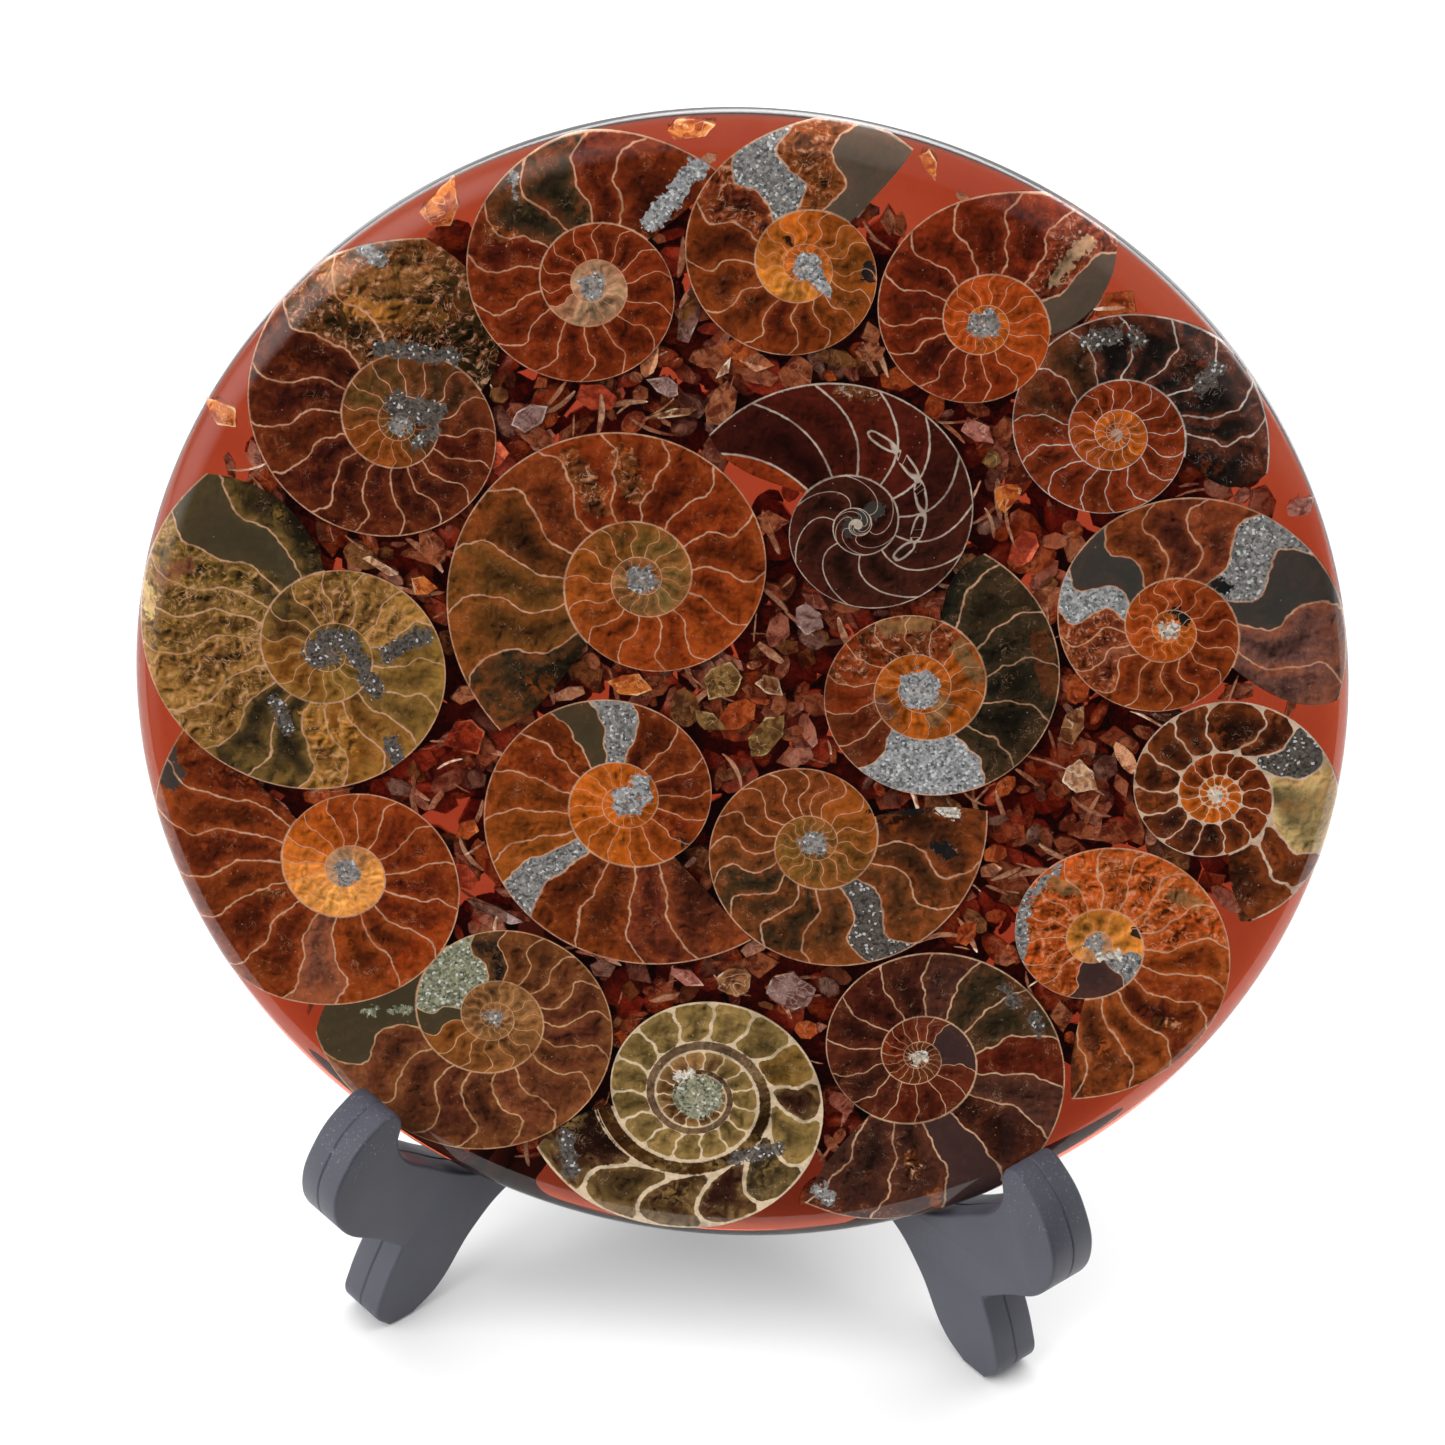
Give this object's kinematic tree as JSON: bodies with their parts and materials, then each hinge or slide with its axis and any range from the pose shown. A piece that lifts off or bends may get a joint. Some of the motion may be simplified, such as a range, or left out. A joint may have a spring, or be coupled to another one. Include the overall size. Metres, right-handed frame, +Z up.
{
  "type": "polished ammonite disc on a stand",
  "caption": "Round polished disc of clear red resin with sliced ammonites and a nautilus set flush in its face, leaning in a slot-together plate stand.",
  "frame": {"origin": "the middle of the object's box, on the surface that the stand's feet rest on", "axes": "+Z up, -Y out of the polished face towards the viewer, +X to the viewer's right"},
  "size_m": [0.15, 0.0842, 0.16],
  "materials": {
    "red_resin": "polished clear red casting resin",
    "ammonite_slice": "polished calcite fossil, red-brown to olive with cream walls",
    "nautilus_slice": "polished calcite fossil, dark maroon with cream walls",
    "shell_chip": "polished chips of fossil shell",
    "black_plastic": "moulded, matt, slate black"
  },
  "bodies": {
    "root": {"resin_disc": "red_resin", "ammonite_01": "ammonite_slice", "ammonite_02": "ammonite_slice", "ammonite_03": "ammonite_slice", "ammonite_04": "ammonite_slice", "ammonite_05": "ammonite_slice", "ammonite_06": "ammonite_slice", "ammonite_07": "ammonite_slice", "ammonite_08": "ammonite_slice", "ammonite_09": "ammonite_slice", "ammonite_10": "ammonite_slice", "ammonite_11": "ammonite_slice", "ammonite_12": "ammonite_slice", "ammonite_13": "ammonite_slice", "ammonite_14": "ammonite_slice", "ammonite_15": "ammonite_slice", "ammonite_16": "ammonite_slice", "ammonite_17": "ammonite_slice", "nautilus": "nautilus_slice", "chip_amber_top": "shell_chip", "chip_amber_top_right": "shell_chip", "chip_orange_upper_left": "shell_chip", "chip_orange_left": "shell_chip", "chip_druzy_top": "shell_chip", "chip_blade_top": "shell_chip", "chip_flake_top": "shell_chip", "chip_grey_upper_left": "shell_chip", "chip_grey_upper_right": "shell_chip", "chip_olive_right": "shell_chip", "chip_tube_right": "shell_chip", "chip_pink_right": "shell_chip", "chip_tan_centre": "shell_chip", "chip_orange_centre": "shell_chip", "chip_brown_centre": "shell_chip", "chip_grey_centre": "shell_chip", "chip_olive_centre": "shell_chip", "chip_yellow_centre": "shell_chip", "chip_tan_lower_right": "shell_chip", "chip_cream_lower_right": "shell_chip", "chip_red_left": "shell_chip", "chip_amber_left": "shell_chip", "chip_flake_left": "shell_chip", "chip_round_bottom": "shell_chip", "chip_porous_bottom": "shell_chip", "chip_pink_bottom": "shell_chip", "stand_left": "black_plastic", "stand_right": "black_plastic"}
  },
  "joints": []
}
